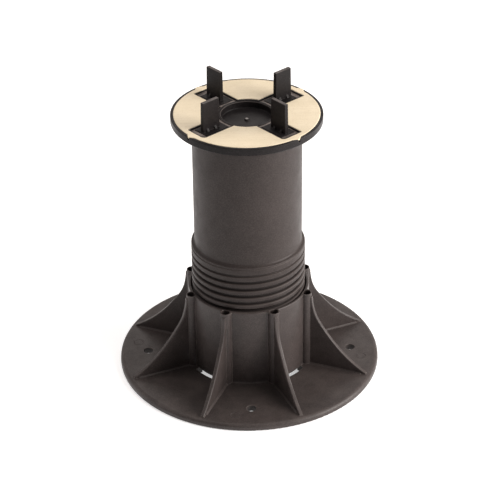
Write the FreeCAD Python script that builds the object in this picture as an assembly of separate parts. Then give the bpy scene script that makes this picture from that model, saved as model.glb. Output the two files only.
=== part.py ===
import FreeCAD, Part
import math
import os

# Screw-adjustable deck pedestal.
# Millimetres.  +Z is up, the origin is the centre of the footprint on the
# ground.  Rest height is the height the pedestal is shown at.

V = FreeCAD.Vector
Z = V(0, 0, 1)

# ---------------------------------------------------------------- dimensions
# flange
FLANGE_R = 100.0
FLANGE_H = 5.0            # height of the rolled outer edge and of the plate top
FLANGE_EDGE_FILLET = 3.0
PLATE_T = 3.5             # plate thickness over the recessed underside
RIM_IN_R = 96.0           # inner radius of the ring that touches the ground
HUB_RING_R = 53.0         # outer radius of the ground ring under the collar
WEB_W = 5.0               # width of the ground webs under the ribs
HOLE_R = 3.75             # fixing holes
HOLE_PCR = 78.5           # fixing holes, pitch circle radius
BOSS_R = 8.0              # ground boss around each fixing hole
# collar with internal thread
COLLAR_R = 46.0
COLLAR_H = 68.0
COLLAR_FOOT_R = 1.5
BORE_R = 43.3             # root radius of the internal thread
NUT_CREST_R = 41.4        # crest radius of the internal thread
NUT_Z0 = 26.0
NUT_Z1 = 60.5
# drain slots at the collar's foot, open to the bore under the collar's wall
SLOT_R1 = 48.9
SLOT_HALF_DEG = 12.5
SLOT_TOP_Z = 6.6
# ribs and the cored posts that carry them
RIB_N = 8
RIB_A0 = 22.5
RIB_T = 3.0
RIB_EDGE_R = 0.7
RIB_TOP_Z = 65.2
RIB_ROOT = 0.9            # leg of the root fillet strip on the plate
POST_R = 4.3              # round post, radius
POST_PCR = 46.6           # round post, distance of its axis
POCKET_R = 3.2
POCKET_PCR = 47.0
POCKET_IN_R = 44.5        # the pocket stays outside this radius
POCKET_Z = 14.0
# stem
STEM_R = 40.45
STEM_IN_R = 37.0
STEM_Z0 = 35.5
STEM_Z1 = 207.0
SCREW_R = 42.9            # crest radius of the external thread
SCREW_ROOT_R = 40.7
PITCH = 6.0               # right-hand thread
GROOVE_Z_FRONT = 104.35   # groove centre of the top turn, measured at -Y
SHOULDER_Z0 = 104.2       # shoulder cone above the thread
SHOULDER_Z1 = 107.2
# head
HEAD_TURN = -4.2          # the head stands a little turned against the base
HEAD_R = 55.6
HEAD_Z0 = 207.0
HEAD_FLOOR_Z = 210.0
RIM_W = 2.2
RIM_TOP_Z = 212.2
SPIGOT_R = 36.6
SPIGOT_IN_R = 34.0
SPIGOT_Z0 = 193.0
WELL_R = 19.0
WELL_FLOOR_Z = 206.2
WELL_UNDER_Z = 203.8
NUB_Z = 207.5             # top of the small centre nub
LIP_W = 2.1
LIP_Z = 211.6
ARM_FLOOR_Z = 211.1       # floor of the X-shaped recess
SKIRT = 0.6               # the edge of the plate reaches a little below its underside
BORDER_W = 0.9            # raised border round the X-shaped recess
# pad
PAD_R = 53.4
PAD_Z1 = 212.5
ARM_HW = 8.8
ARM_END = 48.6
PAD_EYE_R = 21.4
LUG_HW = 5.6              # half width of a lug's wedge where it leaves the sheet
LUG_ROOT_R = 52.4
LUG_TIP_R = 56.0          # the wedge's sides meet here, outside the rim
# spacer tabs
FOOT_U0 = 22.8
FOOT_U1 = 43.8
FOOT_HW = 6.5
FOOT_Z0 = 209.0
FOOT_Z1 = 211.6
FIN_U0 = 27.4
FIN_U1 = 42.6
FIN_T = 3.0
FIN_TOP_Z = 234.6
FIN_DRAFT = 0.35

os.makedirs("parts", exist_ok=True)


# ------------------------------------------------------------------- helpers
def turned(shape, deg):
    s = shape.copy()
    s.rotate(V(0, 0, 0), Z, deg)
    return s


def cyl(r, z0, z1):
    return Part.makeCylinder(r, z1 - z0, V(0, 0, z0))


def slab(x0, x1, y0, y1, z0, z1):
    return Part.makeBox(x1 - x0, y1 - y0, z1 - z0, V(x0, y0, z0))


def lathe(items):
    """Solid of revolution.  items: (r, z) points in order; a pair of
    ("arc", (rm, zm), (r, z)) makes an arc to the last point."""
    edges = []
    first = items[0]
    cur = first
    for it in list(items[1:]) + [first]:
        if it[0] == "arc":
            m, e = it[1], it[2]
            edges.append(Part.Arc(V(cur[0], 0, cur[1]), V(m[0], 0, m[1]),
                                  V(e[0], 0, e[1])).toShape())
            cur = e
        else:
            if abs(it[0] - cur[0]) + abs(it[1] - cur[1]) > 1e-9:
                edges.append(Part.LineSegment(V(cur[0], 0, cur[1]),
                                              V(it[0], 0, it[1])).toShape())
            cur = it
    face = Part.Face(Part.Wire(edges))
    return face.revolve(V(0, 0, 0), Z, 360)


def round_mid(cx, cz, r, deg):
    a = math.radians(deg)
    return (cx + r * math.cos(a), cz + r * math.sin(a))


def helix_body(corners, t0, t1, step=15.0, span=180.0):
    """Closed solid swept along a helix.  corners(t) gives the section's (r, z)
    corners, in order, in the axial half-plane at angle t (degrees).  The sides
    are made in spans of half a turn that share their tangents."""
    def section(t):
        a = math.radians(t)
        return [V(r * math.cos(a), r * math.sin(a), z) for r, z in corners(t)]

    def slope(t, dt):
        h = 0.01
        return [(q - p) * (dt / (2 * h)) for p, q in zip(section(t - h), section(t + h))]

    n_span = int(math.ceil((t1 - t0) / span - 1e-9))
    faces = []
    for i in range(n_span):
        a = t0 + (t1 - t0) * i / n_span
        b = t0 + (t1 - t0) * (i + 1) / n_span
        n = max(4, int(math.ceil((b - a) / step)))
        rows = [section(a + (b - a) * j / n) for j in range(n + 1)]
        d0, d1 = slope(a, (b - a) / n), slope(b, (b - a) / n)
        pars = [float(j) for j in range(n + 1)]
        curves = []
        for k in range(len(rows[0])):
            c = Part.BSplineCurve()
            c.interpolate(Points=[row[k] for row in rows], Parameters=pars,
                          InitialTangent=d0[k], FinalTangent=d1[k], Scale=False)
            curves.append(c.toShape())
        for k in range(len(curves)):
            faces += Part.makeRuledSurface(curves[k], curves[(k + 1) % len(curves)]).Faces
    for t in (t0, t1):
        row = section(t)
        faces.append(Part.Face(Part.makePolygon(row + [row[0]])))
    skin = Part.makeCompound(faces)
    skin.sewShape(1e-5)
    body = Part.makeSolid(skin.Shells[0])
    if body.Volume < 0:
        body.reverse()
    return body


def groove_z(t):
    # height of the top turn's groove centre at angle t (degrees, -90 = front)
    return GROOVE_Z_FRONT + PITCH * (t + 90.0) / 360.0


def smooth(x):
    x = min(1.0, max(0.0, x))
    return x * x * (3 - 2 * x)


# ---------------------------------------------------------------------- base
def make_base():
    e = FLANGE_EDGE_FILLET
    f = COLLAR_FOOT_R
    under = FLANGE_H - PLATE_T
    body = lathe([
        (BORE_R, 0), (HUB_RING_R, 0), (HUB_RING_R, under), (RIM_IN_R, under),
        (RIM_IN_R, 0), (FLANGE_R - 0.6, 0),
        ("arc", round_mid(FLANGE_R - 0.6, 0.6, 0.6, -45), (FLANGE_R, 0.6)),
        (FLANGE_R, FLANGE_H - e),
        ("arc", round_mid(FLANGE_R - e, FLANGE_H - e, e, 45), (FLANGE_R - e, FLANGE_H)),
        (COLLAR_R + f, FLANGE_H),
        ("arc", round_mid(COLLAR_R + f, FLANGE_H + f, f, 225), (COLLAR_R, FLANGE_H + f)),
        (COLLAR_R, COLLAR_H - 0.7),
        ("arc", round_mid(COLLAR_R - 0.7, COLLAR_H - 0.7, 0.7, 45), (COLLAR_R - 0.7, COLLAR_H)),
        (BORE_R + 1.0, COLLAR_H), (BORE_R, COLLAR_H - 1.6),
    ])

    # curved rib: steep at the post, running out flat on the plate
    pts = [(51.7, RIB_TOP_Z), (52.5, 58.0), (55.3, 48.6), (60.5, 40.0),
           (67.2, 31.0), (75.3, 21.8), (83.2, 14.6), (90.6, 9.2), (96.0, 6.0)]
    top = Part.BSplineCurve()
    top.interpolate([V(r, -RIB_T / 2, z) for r, z in pts])
    a = V(POST_PCR, -RIB_T / 2, RIB_TOP_Z)
    b = V(POST_PCR, -RIB_T / 2, 2.5)
    c = V(96.0, -RIB_T / 2, 2.5)
    p0 = V(pts[0][0], -RIB_T / 2, pts[0][1])
    p1 = V(pts[-1][0], -RIB_T / 2, pts[-1][1])
    wire = Part.Wire([Part.LineSegment(b, a).toShape(), Part.LineSegment(a, p0).toShape(),
                      top.toShape(), Part.LineSegment(p1, c).toShape(),
                      Part.LineSegment(c, b).toShape()])
    rib = Part.Face(wire).extrude(V(0, RIB_T, 0))
    soft = []
    for ed in rib.Edges:
        bb = ed.BoundBox
        if bb.ZLength > 40 and bb.XLength > 30 and bb.YLength < 0.01:
            soft.append(ed)
    rib = rib.makeFillet(RIB_EDGE_R, soft)

    # strip that eases the rib into the plate
    k = RIB_T / 2
    root = Part.Face(Part.makePolygon([
        V(50.0, -k - RIB_ROOT, FLANGE_H), V(50.0, -k + 0.3, FLANGE_H + RIB_ROOT + 0.3),
        V(50.0, k - 0.3, FLANGE_H + RIB_ROOT + 0.3), V(50.0, k + RIB_ROOT, FLANGE_H),
        V(50.0, k + RIB_ROOT, FLANGE_H - 1.0), V(50.0, -k - RIB_ROOT, FLANGE_H - 1.0),
        V(50.0, -k - RIB_ROOT, FLANGE_H)])).extrude(V(42.0, 0, 0))

    # cored round post that carries the rib at the collar
    post = Part.makeCylinder(POST_R, COLLAR_H - 2.5, V(POST_PCR, 0, 2.5)).cut(
        cyl(COLLAR_R - 1.2, 0, COLLAR_H + 5))
    unit = post.fuse([rib, root])

    under_web = slab(HUB_RING_R - 1.0, RIM_IN_R + 1.0, -WEB_W / 2, WEB_W / 2, 0, under + 0.5)
    pocket = Part.makeCylinder(POCKET_R, COLLAR_H, V(POCKET_PCR, 0, POCKET_Z)).cut(
        cyl(POCKET_IN_R, 0, 2 * COLLAR_H))

    adds, cuts = [], []
    for i in range(RIB_N):
        d = RIB_A0 + i * 360.0 / RIB_N
        adds.append(turned(unit, d))
        adds.append(turned(under_web, d))
        cuts.append(turned(pocket, d))

    # fixing holes in every other bay
    for d in (0, 90, 180, 270):
        adds.append(turned(Part.makeCylinder(BOSS_R, under + 0.5, V(HOLE_PCR, 0, 0)), d))
        h = Part.makeCylinder(HOLE_R, 20, V(HOLE_PCR, 0, -5))
        cuts.append(turned(h, d))
    body = body.fuse(adds)
    # drain slots in the bays between them
    for d in (45, 135, 225, 315):
        for r0, r1, top_z in ((COLLAR_R - 0.1, SLOT_R1, SLOT_TOP_Z),
                              (BORE_R - 2.0, COLLAR_R + 0.2, FLANGE_H)):
            ring = Part.makeCylinder(r1, top_z + 1, V(0, 0, -1), Z, 2 * SLOT_HALF_DEG).cut(cyl(r0, -2, 20))
            cuts.append(turned(ring, d - SLOT_HALF_DEG))
    body = body.cut(cuts)

    # internal thread: a ridge that fades into the bore at both ends
    t0 = (NUT_Z0 - groove_z(-90)) / PITCH * 360.0 - 90.0
    t1 = (NUT_Z1 - groove_z(-90)) / PITCH * 360.0 - 90.0

    def ridge(t):
        fade = min(smooth((t - t0) / 60.0), smooth((t1 - t) / 60.0))
        rc = BORE_R + 0.25 - (BORE_R + 0.25 - NUT_CREST_R) * fade
        zc = groove_z(t)
        ro = BORE_R + 0.9
        w0, w1 = 0.62, 1.45
        wc = w0 + (w1 - w0) * (rc - NUT_CREST_R) / (BORE_R - NUT_CREST_R)
        wo = 1.5
        return [(rc, zc - wc), (ro, zc - wo), (ro, zc + wo), (rc, zc + wc)]
    nut = helix_body(ridge, t0, t1)
    full = body.fuse(nut)
    print("internal thread adds mm3 %.0f" % (full.Volume - body.Volume))
    return full


# ---------------------------------------------------------------------- stem
def make_stem():
    body = lathe([
        (STEM_IN_R, STEM_Z0), (SCREW_R - 0.8, STEM_Z0), (SCREW_R, STEM_Z0 + 1.2),
        (SCREW_R, SHOULDER_Z0),
        ("arc", (SCREW_R - 0.36, SHOULDER_Z0 + 0.85), ((SCREW_R + STEM_R) / 2, (SHOULDER_Z0 + SHOULDER_Z1) / 2)),
        ("arc", (STEM_R + 0.36, SHOULDER_Z1 - 0.85), (STEM_R, SHOULDER_Z1)), (STEM_R, STEM_Z1),
        (STEM_IN_R, STEM_Z1),
    ])
    # the groove gets shallower over the last turns and fades at the shoulder
    t_out0, t_out1 = -1205.0, 551.0
    t_end = 90.0
    t0 = (STEM_Z0 - 4.0 - groove_z(-90)) / PITCH * 360.0 - 90.0

    def groove(t):
        lift = smooth((t - t_out0) / (t_out1 - t_out0)) * (SCREW_R + 0.35 - SCREW_ROOT_R)
        zc = groove_z(t)
        g = [(SCREW_ROOT_R + lift, 0.75), (SCREW_R - 0.6 + lift, 1.37),
             (SCREW_R - 0.16 + lift, 1.68), (SCREW_R + 0.06 + lift, 2.15),
             (SCREW_R + 2.2 + lift, 2.3)]
        lo = [(r, zc - w) for r, w in g]
        up = [(r, zc + w) for r, w in g]
        return lo + up[::-1]
    cutter = helix_body(groove, t0, t_end)
    body = turned(body, 77.0)
    cut = body.cut(cutter)
    print("external thread removes mm3 %.0f" % (body.Volume - cut.Volume))
    return cut


# ---------------------------------------------------------------------- head
def make_head_plate():
    r0 = 0.5
    plate = lathe([
        (0, WELL_UNDER_Z), (WELL_R + 2.0, WELL_UNDER_Z), (WELL_R + 2.6, WELL_UNDER_Z + 0.6),
        (WELL_R + 2.6, HEAD_Z0),
        (SPIGOT_IN_R, HEAD_Z0), (SPIGOT_IN_R, SPIGOT_Z0 + 0.8), (SPIGOT_IN_R + 0.8, SPIGOT_Z0),
        (SPIGOT_R - 0.8, SPIGOT_Z0), (SPIGOT_R, SPIGOT_Z0 + 0.8), (SPIGOT_R, HEAD_Z0),
        (HEAD_R - 4.2, HEAD_Z0), (HEAD_R - 3.8, HEAD_Z0 - SKIRT), (HEAD_R - 1.2, HEAD_Z0 - SKIRT),
        ("arc", round_mid(HEAD_R - 1.2, HEAD_Z0 - SKIRT + 1.2, 1.2, -45), (HEAD_R, HEAD_Z0 - SKIRT + 1.2)),
        (HEAD_R, RIM_TOP_Z - r0), (HEAD_R - 0.15, RIM_TOP_Z - 0.15), (HEAD_R - r0, RIM_TOP_Z),
        (HEAD_R - RIM_W, RIM_TOP_Z), (HEAD_R - RIM_W, HEAD_FLOOR_Z),
        (WELL_R + LIP_W, HEAD_FLOOR_Z), (WELL_R + LIP_W, LIP_Z - 0.3),
        (WELL_R + LIP_W - 0.3, LIP_Z), (WELL_R + 0.4, LIP_Z), (WELL_R, LIP_Z - 0.4),
        (WELL_R, WELL_FLOOR_Z + 0.8),
        ("arc", round_mid(WELL_R - 0.8, WELL_FLOOR_Z + 0.8, 0.8, -45), (WELL_R - 0.8, WELL_FLOOR_Z)),
        (2.1, WELL_FLOOR_Z), (1.7, NUB_Z - 0.5), (1.0, NUB_Z), (0, NUB_Z),
    ])
    # border round the recess, level with the rim, black like the plate
    field = arm_opening(0.0, RIM_TOP_Z - HEAD_FLOOR_Z + 0.4, HEAD_FLOOR_Z - 0.4)
    border = field[0].fuse(field[1:]).cut(arm_opening(-BORDER_W, 10.0, HEAD_FLOOR_Z - 5))
    inlay = arm_opening(-BORDER_W / 2, ARM_FLOOR_Z - HEAD_FLOOR_Z + 0.4, HEAD_FLOOR_Z - 0.4)
    inlay = inlay[0].fuse(inlay[1:]).cut(cyl(WELL_R + 1.0, HEAD_FLOOR_Z - 5, HEAD_FLOOR_Z + 5))
    plate = plate.fuse([border, inlay])
    cuts = []
    for i in range(4):
        d = 45 + 90 * i
        # pocket for a tab's foot
        cuts.append(turned(slab(FOOT_U0 - 0.15, FOOT_U1 + 0.15, -FOOT_HW - 0.15, FOOT_HW + 0.15,
                                FOOT_Z0, FOOT_Z0 + 5), d))
        # notch in the rim for a pad lug
        tri = Part.makePolygon([V(LUG_ROOT_R, -LUG_HW, HEAD_FLOOR_Z), V(LUG_TIP_R, 0, HEAD_FLOOR_Z),
                                V(LUG_ROOT_R, LUG_HW, HEAD_FLOOR_Z), V(LUG_ROOT_R, -LUG_HW, HEAD_FLOOR_Z)])
        cuts.append(turned(Part.Face(tri).extrude(V(0, 0, 6)), d))
    return turned(plate.cut(cuts), HEAD_TURN)


def arm_opening(extra, height, z0):
    """X-shaped opening: four arms, each with one rounded outer corner."""
    tools = []
    for i in range(4):
        box = slab(0, ARM_END + extra, -ARM_HW - extra, ARM_HW + extra, z0, z0 + height)
        side = 1 if i in (0, 2) else -1       # corner beside the front and back fields
        big, small = [], []
        for ed in box.Edges:
            b = ed.BoundBox
            if b.ZLength > height - 0.01 and b.XMin > ARM_END + extra - 0.01:
                (big if b.YMin * side > 0 else small).append(ed)
        box = box.makeFillet(3.0, big)
        small = []
        for ed in box.Edges:
            b = ed.BoundBox
            if (b.ZLength > height - 0.01 and b.XMin > ARM_END + extra - 0.01
                    and b.XLength < 0.01 and b.YLength < 0.01 and b.YMin * side < 0.5 - ARM_HW - extra):
                small.append(ed)
        if small:
            box = box.makeFillet(0.7, small)
        tools.append(turned(box, 45 + 90 * i))
    tools.append(cyl(PAD_EYE_R + extra, z0, z0 + height))
    return tools


def make_head_pad():
    r0 = 0.35
    disc = lathe([
        (0, HEAD_FLOOR_Z), (PAD_R, HEAD_FLOOR_Z), (PAD_R, PAD_Z1 - r0),
        ("arc", round_mid(PAD_R - r0, PAD_Z1 - r0, r0, 45), (PAD_R - r0, PAD_Z1)),
        (0, PAD_Z1),
    ])
    lugs = []
    for i in range(4):
        w, tip = LUG_HW - 0.15, LUG_TIP_R - 0.1
        tri = Part.makePolygon([V(LUG_ROOT_R, -w, HEAD_FLOOR_Z), V(tip, 0, HEAD_FLOOR_Z),
                                V(LUG_ROOT_R, w, HEAD_FLOOR_Z), V(LUG_ROOT_R, -w, HEAD_FLOOR_Z)])
        lug = Part.Face(tri).extrude(V(0, 0, RIM_TOP_Z - HEAD_FLOOR_Z + 0.1))
        lugs.append(turned(lug.common(cyl(HEAD_R - 0.1, HEAD_FLOOR_Z - 1, HEAD_FLOOR_Z + 6)), 45 + 90 * i))
    pad = disc.fuse(lugs)
    pad = pad.cut(arm_opening(0.08, 10.0, HEAD_FLOOR_Z - 5))
    return turned(pad, HEAD_TURN)


def make_tab(deg):
    foot = slab(FOOT_U0, FOOT_U1, -FOOT_HW, FOOT_HW, FOOT_Z0, FOOT_Z1)
    soft = [ed for ed in foot.Edges if ed.BoundBox.ZMin > FOOT_Z1 - 0.01]
    foot = foot.makeFillet(0.4, soft)
    zb = FOOT_Z1 - 0.6
    d = FIN_DRAFT
    h = FIN_T / 2
    low = Part.makePolygon([V(FIN_U0, -h, zb), V(FIN_U1, -h, zb), V(FIN_U1, h, zb), V(FIN_U0, h, zb), V(FIN_U0, -h, zb)])
    k = h - 0.1
    top = Part.makePolygon([V(FIN_U0 + d, -k, FIN_TOP_Z), V(FIN_U1 - d, -k, FIN_TOP_Z), V(FIN_U1 - d, k, FIN_TOP_Z),
                            V(FIN_U0 + d, k, FIN_TOP_Z), V(FIN_U0 + d, -k, FIN_TOP_Z)])
    fin = Part.makeLoft([low, top], True, True)
    soft = [ed for ed in fin.Edges if ed.BoundBox.ZMin > FIN_TOP_Z - 0.01]
    fin = fin.makeFillet(0.35, soft)
    # small buttress on each side at the foot of the fin
    wedge = Part.Face(Part.makePolygon([V(0, -h - 1.6, zb), V(0, h + 1.6, zb), V(0, h - 0.2, zb + 3.2),
                                        V(0, -h + 0.2, zb + 3.2), V(0, -h - 1.6, zb)])).extrude(V(2.0, 0, 0))
    w1 = wedge.copy()
    w1.translate(V(FIN_U0 + 3.0, 0, 0))
    w2 = wedge.copy()
    w2.translate(V(FIN_U1 - 5.0, 0, 0))
    tab = foot.fuse([fin, w1, w2])
    return turned(tab, deg + HEAD_TURN)


# -------------------------------------------------------------------- export
def save(shape, name):
    s = shape.removeSplitter() if name not in ("base", "stem") else shape
    if len(s.Solids) == 1:
        s = s.Solids[0]
    if not s.isValid():
        s.fix(1e-6, 1e-6, 1e-5)
    print(name, "solids", len(s.Solids), "faces", len(s.Faces), "valid", s.isValid(),
          "cm3 %.2f" % (s.Volume / 1000.0), "z %.2f..%.2f" % (s.BoundBox.ZMin, s.BoundBox.ZMax),
          "x %.2f..%.2f" % (s.BoundBox.XMin, s.BoundBox.XMax))
    s.exportStep("parts/%s.step" % name)


save(make_base(), "base")
save(make_stem(), "stem")
save(make_head_plate(), "head_plate")
save(make_head_pad(), "head_pad")
for tab_name, tab_deg in (("spacer_tab_back_right", 45), ("spacer_tab_back_left", 135),
                          ("spacer_tab_front_left", 225), ("spacer_tab_front_right", 315)):
    save(make_tab(tab_deg), tab_name)
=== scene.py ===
import math
import bmesh
import bpy
from mathutils import Matrix, Vector


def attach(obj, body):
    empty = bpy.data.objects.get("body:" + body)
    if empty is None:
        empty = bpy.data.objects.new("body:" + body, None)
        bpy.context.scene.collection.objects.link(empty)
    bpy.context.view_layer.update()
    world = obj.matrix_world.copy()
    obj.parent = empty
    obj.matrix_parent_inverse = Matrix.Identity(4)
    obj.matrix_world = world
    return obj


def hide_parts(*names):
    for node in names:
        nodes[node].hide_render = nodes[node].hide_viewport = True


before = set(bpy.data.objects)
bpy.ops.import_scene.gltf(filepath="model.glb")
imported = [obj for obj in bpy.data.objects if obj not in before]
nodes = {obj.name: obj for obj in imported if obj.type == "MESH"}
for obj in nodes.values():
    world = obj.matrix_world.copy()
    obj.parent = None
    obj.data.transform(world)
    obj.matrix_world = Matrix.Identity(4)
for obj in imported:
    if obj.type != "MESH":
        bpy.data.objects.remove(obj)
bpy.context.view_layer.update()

scene = bpy.context.scene


# ------------------------------------------------------------------ node help
class Graph:
    """Small helper that builds a node material in object coordinates (metres)."""

    def __init__(self, name):
        self.mat = bpy.data.materials.new(name)
        self.mat.use_nodes = True
        self.t = self.mat.node_tree
        self.t.nodes.clear()
        self.out = self.t.nodes.new("ShaderNodeOutputMaterial")
        self.bsdf = self.t.nodes.new("ShaderNodeBsdfPrincipled")
        self.t.links.new(self.bsdf.outputs["BSDF"], self.out.inputs["Surface"])
        self.tc = self.t.nodes.new("ShaderNodeTexCoord")
        self.geo = self.t.nodes.new("ShaderNodeNewGeometry")

    def new(self, kind, **props):
        n = self.t.nodes.new(kind)
        for k, v in props.items():
            setattr(n, k, v)
        return n

    def link(self, a, b):
        self.t.links.new(a, b)

    def coords(self, scale=(1, 1, 1), rot=(0, 0, 0), loc=(0, 0, 0)):
        m = self.new("ShaderNodeMapping")
        m.inputs["Scale"].default_value = scale
        m.inputs["Rotation"].default_value = rot
        m.inputs["Location"].default_value = loc
        self.link(self.tc.outputs["Object"], m.inputs["Vector"])
        return m.outputs["Vector"]

    def noise(self, scale, detail=3.0, rough=0.5, vec=None, distort=0.0):
        n = self.new("ShaderNodeTexNoise")
        n.inputs["Scale"].default_value = scale
        n.inputs["Detail"].default_value = detail
        n.inputs["Roughness"].default_value = rough
        n.inputs["Distortion"].default_value = distort
        self.link(vec if vec is not None else self.tc.outputs["Object"], n.inputs["Vector"])
        return n.outputs["Fac"]

    def remap(self, val, a, b, c=0.0, d=1.0):
        n = self.new("ShaderNodeMapRange")
        n.interpolation_type = "SMOOTHSTEP"
        n.inputs["From Min"].default_value = a
        n.inputs["From Max"].default_value = b
        n.inputs["To Min"].default_value = c
        n.inputs["To Max"].default_value = d
        self.link(val, n.inputs["Value"])
        return n.outputs["Result"]

    def math(self, op, a, b=None, clamp=False):
        n = self.new("ShaderNodeMath", operation=op)
        n.use_clamp = clamp
        for i, v in enumerate((a, b)):
            if v is None:
                continue
            if isinstance(v, (int, float)):
                n.inputs[i].default_value = v
            else:
                self.link(v, n.inputs[i])
        return n.outputs[0]

    def mix(self, fac, a, b, mode="MIX"):
        n = self.new("ShaderNodeMix", data_type="RGBA", blend_type=mode)
        if isinstance(fac, (int, float)):
            n.inputs["Factor"].default_value = fac
        else:
            self.link(fac, n.inputs["Factor"])
        for key, v in ((6, a), (7, b)):
            if isinstance(v, tuple):
                n.inputs[key].default_value = (*v, 1.0)
            else:
                self.link(v, n.inputs[key])
        return n.outputs[2]

    def edge(self, radius):
        """0 on flat faces, towards 1 on sharp or tightly rounded edges."""
        b = self.new("ShaderNodeBevel", samples=6)
        b.inputs["Radius"].default_value = radius
        d = self.new("ShaderNodeVectorMath", operation="DOT_PRODUCT")
        self.link(b.outputs["Normal"], d.inputs[0])
        self.link(self.geo.outputs["Normal"], d.inputs[1])
        return self.math("SUBTRACT", 1.0, d.outputs["Value"], clamp=True), b.outputs["Normal"]

    def up(self):
        s = self.new("ShaderNodeSeparateXYZ")
        self.link(self.geo.outputs["Normal"], s.inputs[0])
        return s.outputs["Z"]

    def bump(self, height, strength, distance, normal=None):
        n = self.new("ShaderNodeBump")
        n.inputs["Strength"].default_value = strength
        n.inputs["Distance"].default_value = distance
        self.link(height, n.inputs["Height"])
        if normal is not None:
            self.link(normal, n.inputs["Normal"])
        return n.outputs["Normal"]

    def finish(self, color, rough, normal=None):
        self.link(color, self.bsdf.inputs["Base Color"])
        if isinstance(rough, (int, float)):
            self.bsdf.inputs["Roughness"].default_value = rough
        else:
            self.link(rough, self.bsdf.inputs["Roughness"])
        if normal is not None:
            self.link(normal, self.bsdf.inputs["Normal"])
        return self.mat


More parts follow.
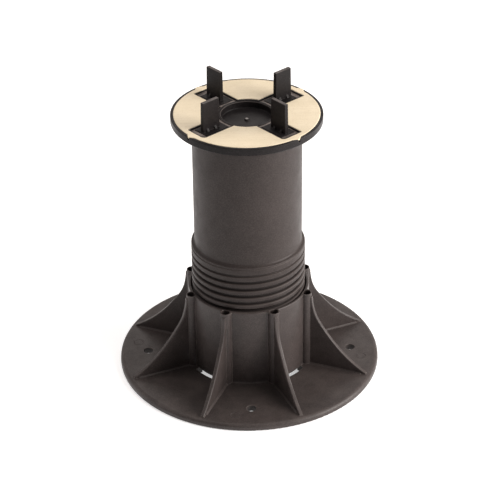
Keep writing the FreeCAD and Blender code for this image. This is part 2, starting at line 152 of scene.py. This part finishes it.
# ------------------------------------------------------------------ materials
def moulded(name, dark, light, edge_col, dust_and_highlight_col, rough, dust=0.3, edge_amt=0.5,
            grain=1500.0, scuff=0.25, spec=0.5, edge_r=0.0010, marks=(), glint_at=None, level_sheen=None,
            groove=None):
    g = Graph(name)
    cloud = g.noise(22.0, 4.0, 0.55)
    mottle = g.noise(150.0, 3.0, 0.6)
    tone = g.remap(g.math("ADD", g.math("MULTIPLY", cloud, 0.65), g.math("MULTIPLY", mottle, 0.35)), 0.36, 0.64)
    col = g.mix(tone, dark, light)
    # fine spark-eroded grain of the mould
    pits = g.noise(1150.0, 2.0, 0.6)
    col = g.mix(g.math("MULTIPLY", g.remap(pits, 0.50, 0.68), 0.30), col, dust_and_highlight_col)
    col = g.mix(g.math("MULTIPLY", g.remap(pits, 0.50, 0.34), 0.35), col, tuple(0.55 * v for v in dark))
    # fine dust that settles on faces that look up
    lying = g.remap(g.up(), 0.35, 0.95)
    film = g.remap(g.noise(60.0, 5.0, 0.65), 0.38, 0.70)
    col = g.mix(g.math("MULTIPLY", g.math("MULTIPLY", lying, film), dust), col, dust_and_highlight_col)
    grit = g.remap(g.noise(820.0, 3.0, 0.7), 0.50, 0.66)
    col = g.mix(g.math("MULTIPLY", g.math("MULTIPLY", lying, grit), 0.8 * dust), col, dust_and_highlight_col)
    # sparse handling scuffs, drawn out along the length
    streak = g.noise(1.0, 4.0, 0.7, g.coords((260.0, 260.0, 26.0)))
    scuffs = g.math("MULTIPLY", g.remap(streak, 0.66, 0.74), g.remap(g.noise(14.0, 2.0), 0.50, 0.62))
    col = g.mix(g.math("MULTIPLY", scuffs, scuff), col, edge_col)
    # paler edges and creases: partly rubbed wear, partly a painted highlight on edges that catch the light; the
    # pale line in the root of every fillet is a painted highlight
    e, _ = g.edge(edge_r)
    soft = g.edge(0.0005)[1]
    edge_wear_and_highlight = g.math("MULTIPLY", g.remap(e, 0.015, 0.20), g.remap(g.noise(95.0, 3.0), 0.30, 0.62, 0.45, 1.0))
    col = g.mix(g.math("MULTIPLY", edge_wear_and_highlight, edge_amt), col, edge_col)
    if groove is not None:
        # painted shade: grooves of the screw thread, darker towards their roots
        p = g.new("ShaderNodeSeparateXYZ")
        g.link(g.tc.outputs["Object"], p.inputs[0])
        rad = g.math("SQRT", g.math("ADD", g.math("MULTIPLY", p.outputs["X"], p.outputs["X"]),
                                    g.math("MULTIPLY", p.outputs["Y"], p.outputs["Y"])))
        groove_shade = g.math("MULTIPLY", g.remap(rad, groove[0], groove[1], 1.0, 0.0),
                      g.remap(p.outputs["Z"], groove[2] - 0.0005, groove[2], 1.0, 0.0))
        groove_shade = g.math("MULTIPLY", groove_shade, g.remap(rad, 0.0392, 0.0400))
        col = g.mix(g.math("MULTIPLY", groove_shade, 0.8), col, tuple(0.35 * v for v in dark))
        # painted highlight: the upper shoulder of each turn is painted paler
        shoulder_highlight = g.math("MULTIPLY", g.remap(g.up(), 0.05, 0.40), g.remap(rad, 0.0416, 0.0425))
        shoulder_highlight = g.math("MULTIPLY", shoulder_highlight, g.remap(p.outputs["Z"], groove[2] - 0.0005, groove[2], 1.0, 0.0))
        col = g.mix(g.math("MULTIPLY", shoulder_highlight, 0.75), col, dust_and_highlight_col)
    if level_sheen is not None:
        # painted sheen: a level face at one height is painted paler, standing in for the light it catches
        z = g.new("ShaderNodeSeparateXYZ")
        g.link(g.tc.outputs["Object"], z.inputs[0])
        off = g.math("ABSOLUTE", g.math("SUBTRACT", z.outputs["Z"], level_sheen[0]))
        sheen_mask = g.math("MULTIPLY", lying, g.remap(off, 0.00015, 0.00035, 1.0, 0.0))
        sheen_mask = g.math("MULTIPLY", sheen_mask, g.remap(g.noise(140.0, 4.0, 0.6), 0.30, 0.62, 0.45, 1.0))
        col = g.mix(sheen_mask, col, level_sheen[1])
    if glint_at is not None:
        # painted highlight: a small pale spot on the nub in the centre of the well, standing in for its glint
        d = g.new("ShaderNodeVectorMath", operation="DISTANCE")
        g.link(g.tc.outputs["Object"], d.inputs[0])
        d.inputs[1].default_value = glint_at
        col = g.mix(g.remap(d.outputs["Value"], 0.0007, 0.0016, 0.85, 0.0), col, (0.30, 0.28, 0.27))
    r = g.math("ADD", g.remap(g.noise(70.0, 4.0, 0.6), 0.30, 0.70, rough - 0.06, rough + 0.07),
               g.math("MULTIPLY", lying, 0.06), clamp=True)
    fine = g.math("ADD", g.math("MULTIPLY", g.noise(grain, 2.0, 0.5), 0.7),
                  g.math("MULTIPLY", g.noise(240.0, 3.0, 0.5), 0.5))
    n = g.bump(fine, 0.10, 0.00012, soft)
    # round witness marks of ejector pins: a sunk disc with a fine raised rim
    for at in marks:
        d = g.new("ShaderNodeVectorMath", operation="DISTANCE")
        g.link(g.tc.outputs["Object"], d.inputs[0])
        d.inputs[1].default_value = at
        disc = g.remap(d.outputs["Value"], 0.0031, 0.0034)
        ring = g.math("MULTIPLY", g.remap(d.outputs["Value"], 0.0032, 0.0035),
                      g.remap(d.outputs["Value"], 0.0035, 0.0039, 1.0, 0.0))
        n = g.bump(g.math("ADD", disc, g.math("MULTIPLY", ring, 0.8)), 0.8, 0.00025, n)
    g.bsdf.inputs["IOR"].default_value = 1.49
    g.bsdf.inputs["Specular IOR Level"].default_value = spec
    return g.finish(col, r, n)


def pad_sheet(name):
    g = Graph(name)
    cloud = g.noise(30.0, 4.0, 0.6)
    speck = g.noise(900.0, 2.0, 0.6)
    col = g.mix(g.remap(cloud, 0.35, 0.65), (0.80, 0.69, 0.50), (0.88, 0.77, 0.58))
    col = g.mix(g.math("MULTIPLY", g.remap(speck, 0.54, 0.70), 0.34), col, (0.62, 0.50, 0.33))
    # faint calender lines of the sheet
    lines = g.noise(1.0, 2.0, 0.5, g.coords((6.0, 900.0, 6.0)))
    col = g.mix(g.math("MULTIPLY", g.remap(lines, 0.50, 0.64), 0.17), col, (0.66, 0.55, 0.38))
    e, soft = g.edge(0.0005)
    grime = g.math("MULTIPLY", g.remap(e, 0.03, 0.25), g.remap(g.noise(120.0, 3.0), 0.35, 0.65))
    col = g.mix(g.math("MULTIPLY", grime, 0.30), col, (0.45, 0.36, 0.25))
    h = g.math("ADD", g.math("MULTIPLY", speck, 0.6), g.math("MULTIPLY", lines, 0.5))
    n = g.bump(h, 0.12, 0.00010, soft)
    g.bsdf.inputs["Specular IOR Level"].default_value = 0.25
    return g.finish(col, g.remap(cloud, 0.3, 0.7, 0.62, 0.78), n)


MARKS = [(0.0874 * math.cos(math.radians(a)), 0.0874 * math.sin(math.radians(a)), 0.005)
         for a in (-8.0, 82.0, 172.0, 262.0)]
M_BASE = moulded("base_plastic_look", (0.036, 0.0286, 0.0270), (0.052, 0.0414, 0.0392), (0.17, 0.142, 0.131),
                 (0.090, 0.073, 0.067), 0.42, dust=0.35, edge_amt=0.60, spec=0.34, edge_r=0.0013, marks=MARKS)
# stem: the thread roots get painted shade and the upper shoulders of the turns a painted highlight
M_STEM = moulded("stem_plastic_look", (0.032, 0.0252, 0.0237), (0.040, 0.0316, 0.0298), (0.13, 0.107, 0.099),
                 (0.066, 0.054, 0.050), 0.45, dust=0.25, edge_amt=0.55, scuff=0.10, spec=0.20,
                 groove=(0.0410, 0.0427, 0.1042))
# head: the level face at z 0.2111 gets a painted sheen, and the nub a painted glint spot
M_HEAD = moulded("head_plastic_look", (0.009, 0.0075, 0.0078), (0.014, 0.0119, 0.0124), (0.06, 0.051, 0.049),
                 (0.040, 0.034, 0.033), 0.40, dust=0.12, edge_amt=0.35, scuff=0.10, spec=0.15,
                 glint_at=(0.0, 0.0, 0.2075), level_sheen=(0.2111, (0.21, 0.178, 0.162)))
# tabs: the level face at z 0.2346 gets a painted sheen
M_TAB = moulded("tab_plastic_look", (0.008, 0.0067, 0.0070), (0.013, 0.0111, 0.0116), (0.06, 0.052, 0.050),
                (0.035, 0.030, 0.029), 0.44, dust=0.15, edge_amt=0.35, scuff=0.10, spec=0.12,
                level_sheen=(0.2346, (0.13, 0.115, 0.110)))
M_PAD = pad_sheet("pad_look")

for name, mat in (("base", M_BASE), ("stem", M_STEM), ("head_plate", M_HEAD), ("head_pad", M_PAD),
                  ("spacer_tab_back_right", M_TAB), ("spacer_tab_back_left", M_TAB),
                  ("spacer_tab_front_left", M_TAB), ("spacer_tab_front_right", M_TAB)):
    ob = nodes[name]
    ob.data.materials.clear()
    ob.data.materials.append(mat)


# ------------------------------------------------------------------------ pad
# Thin resilient sheet: outline with four ears, X-shaped opening with a round
# eye, every edge rolled over.
HEAD_TURN = math.radians(-4.2)
PAD_R, EAR_R, EAR_HW, EAR_TIP = 0.0534, 0.05545, 0.0039, 0.0006
ARM_HW, ARM_END, EYE_R = 0.00888, 0.04868, 0.0221
PAD_Z0, PAD_Z1, ROLL = 0.2100, 0.2125, 0.0005


def polar(r, a):
    return (r * math.cos(a), r * math.sin(a))


def arc(cx, cy, r, a0, a1, n):
    return [(cx + r * math.cos(a0 + (a1 - a0) * i / n), cy + r * math.sin(a0 + (a1 - a0) * i / n))
            for i in range(n + 1)]


outer, inner = [], []
ear = math.asin(EAR_HW / PAD_R)
for i in range(4):
    c = math.radians(45 + 90 * i)
    nxt = c + math.pi / 2
    tip = math.asin(EAR_TIP / EAR_R)
    outer += [polar(EAR_R, c - tip), polar(EAR_R, c + tip)]
    outer += arc(0, 0, PAD_R, c + ear, nxt - ear, 56)
    side = math.asin(ARM_HW / EYE_R)
    big_low = i in (1, 3)
    pts = []
    for sgn in (-1, 1):
        r = 0.003 if (sgn < 0) == big_low else 0.0007
        cx, cy = ARM_END - r, sgn * (ARM_HW - r)
        a0, a1 = (-math.pi / 2, 0.0) if sgn < 0 else (0.0, math.pi / 2)
        pts += arc(cx, cy, r, a0, a1, 8 if r > 0.002 else 4)
    inner += [(x * math.cos(c) - y * math.sin(c), x * math.sin(c) + y * math.cos(c)) for x, y in pts]
    inner += arc(0, 0, EYE_R, c + side, nxt - side, 16)

curve = bpy.data.curves.new("pad_outline", "CURVE")
curve.dimensions = "2D"
curve.fill_mode = "BOTH"
curve.extrude = (PAD_Z1 - PAD_Z0) / 2 - ROLL
curve.bevel_depth = ROLL
curve.bevel_resolution = 3
curve.offset = -ROLL
for loop in (outer, inner):
    sp = curve.splines.new("POLY")
    sp.points.add(len(loop) - 1)
    for q, (x, y) in zip(sp.points, loop):
        q.co = (x, y, 0.0, 1.0)
    sp.use_cyclic_u = True
tmp = bpy.data.objects.new("pad_tmp", curve)
scene.collection.objects.link(tmp)
bpy.context.view_layer.update()
pad_mesh = bpy.data.meshes.new_from_object(tmp.evaluated_get(bpy.context.evaluated_depsgraph_get()))
bpy.data.objects.remove(tmp)
bpy.data.curves.remove(curve)
pad_mesh.transform(Matrix.Translation((0, 0, (PAD_Z0 + PAD_Z1) / 2)) @ Matrix.Rotation(HEAD_TURN, 4, "Z"))
pad_mesh.name = "pad_sheet"
bm = bmesh.new()
bm.from_mesh(pad_mesh)
bmesh.ops.remove_doubles(bm, verts=bm.verts, dist=0.00001)
# the ears thin out from below towards their tips
for v in bm.verts:
    t = (math.hypot(v.co.x, v.co.y) - PAD_R) / (EAR_R - PAD_R)
    if t > 0.0:
        v.co.z = PAD_Z1 - (PAD_Z1 - v.co.z) * (1.0 - 0.55 * min(t, 1.0))
bmesh.ops.recalc_face_normals(bm, faces=bm.faces)
for f in bm.faces:
    f.smooth = abs(f.normal.z) < 0.999
bm.to_mesh(pad_mesh)
bm.free()
pad = bpy.data.objects.new("pad_sheet", pad_mesh)
scene.collection.objects.link(pad)
pad_mesh.materials.clear()
pad_mesh.materials.append(M_PAD)
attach(pad, "head")
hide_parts("head_pad")

# ---------------------------------------------------------------------- floor
bpy.ops.mesh.primitive_plane_add(size=40.0, location=(0, 0, -0.0004))
floor = bpy.context.object
floor.name = "floor"
fg = Graph("floor_look")
fg.bsdf.inputs["Base Color"].default_value = (0.86, 0.86, 0.86, 1.0)
fg.bsdf.inputs["Roughness"].default_value = 0.85
fg.bsdf.inputs["Specular IOR Level"].default_value = 0.1
fg.bsdf.inputs["Emission Color"].default_value = (1.0, 1.0, 1.0, 1.0)
fg.bsdf.inputs["Emission Strength"].default_value = 0.50
floor.data.materials.append(fg.mat)

# ---------------------------------------------------------------------- light
world = bpy.data.worlds.new("studio")
scene.world = world
world.use_nodes = True
bg = world.node_tree.nodes["Background"]
bg.inputs["Color"].default_value = (1.0, 0.96, 0.94, 1.0)
bg.inputs["Strength"].default_value = 0.22


def softbox(name, loc, aim, size, power, color=(1, 1, 1)):
    d = bpy.data.lights.new(name, "AREA")
    d.shape = "RECTANGLE"
    d.size, d.size_y = size
    d.energy = power
    d.color = color
    o = bpy.data.objects.new(name, d)
    scene.collection.objects.link(o)
    o.location = loc
    o.rotation_euler = (Vector(aim) - Vector(loc)).to_track_quat("-Z", "Y").to_euler()
    return o


softbox("key_right", (1.58, -0.45, 0.66), (0, 0, 0.12), (1.5, 1.1), 55.0, (1.0, 0.955, 0.92))
softbox("top", (0.05, 0.15, 1.60), (0, 0, 0.15), (1.4, 1.0), 7.2, (1.0, 0.95, 0.92))
softbox("back", (0.0, 1.90, 1.15), (0, 0, 0.10), (3.0, 1.1), 13.5, (1.0, 0.93, 0.89))
softbox("fill_left", (-1.45, 0.25, 0.75), (0, 0, 0.12), (0.9, 1.2), 6.4, (1.0, 0.90, 0.86))

# --------------------------------------------------------------------- camera
F_PX, DIST = 1954.668, 1.474307
EL, ROLL, YAW, PIT, AZ = (math.radians(v) for v in (31.474, -0.618, -0.053, -0.156, -0.8))
eye = Vector((0, -DIST * math.cos(EL), 0.100 + DIST * math.sin(EL)))
fwd = Vector((0, math.cos(EL), -math.sin(EL)))
right = Vector((1, 0, 0))
upv = right.cross(fwd)
rot = Matrix((right, upv, -fwd)).transposed()
rot = rot @ Matrix.Rotation(YAW, 3, "Y") @ Matrix.Rotation(PIT, 3, "X") @ Matrix.Rotation(ROLL, 3, "Z")
pose = Matrix.Translation(eye) @ rot.to_4x4()
pose = Matrix.Rotation(AZ, 4, "Z") @ pose
cam_data = bpy.data.cameras.new("camera")
cam_data.sensor_fit = "HORIZONTAL"
cam_data.sensor_width = 36.0
cam_data.lens = F_PX / 500.0 * 36.0
cam_data.clip_start = 0.05
cam_data.clip_end = 100.0
cam = bpy.data.objects.new("camera", cam_data)
scene.collection.objects.link(cam)
cam.matrix_world = pose
scene.camera = cam

scene.view_settings.view_transform = "Standard"
scene.view_settings.look = "None"
scene.view_settings.exposure = 0.0
scene.view_settings.gamma = 1.0
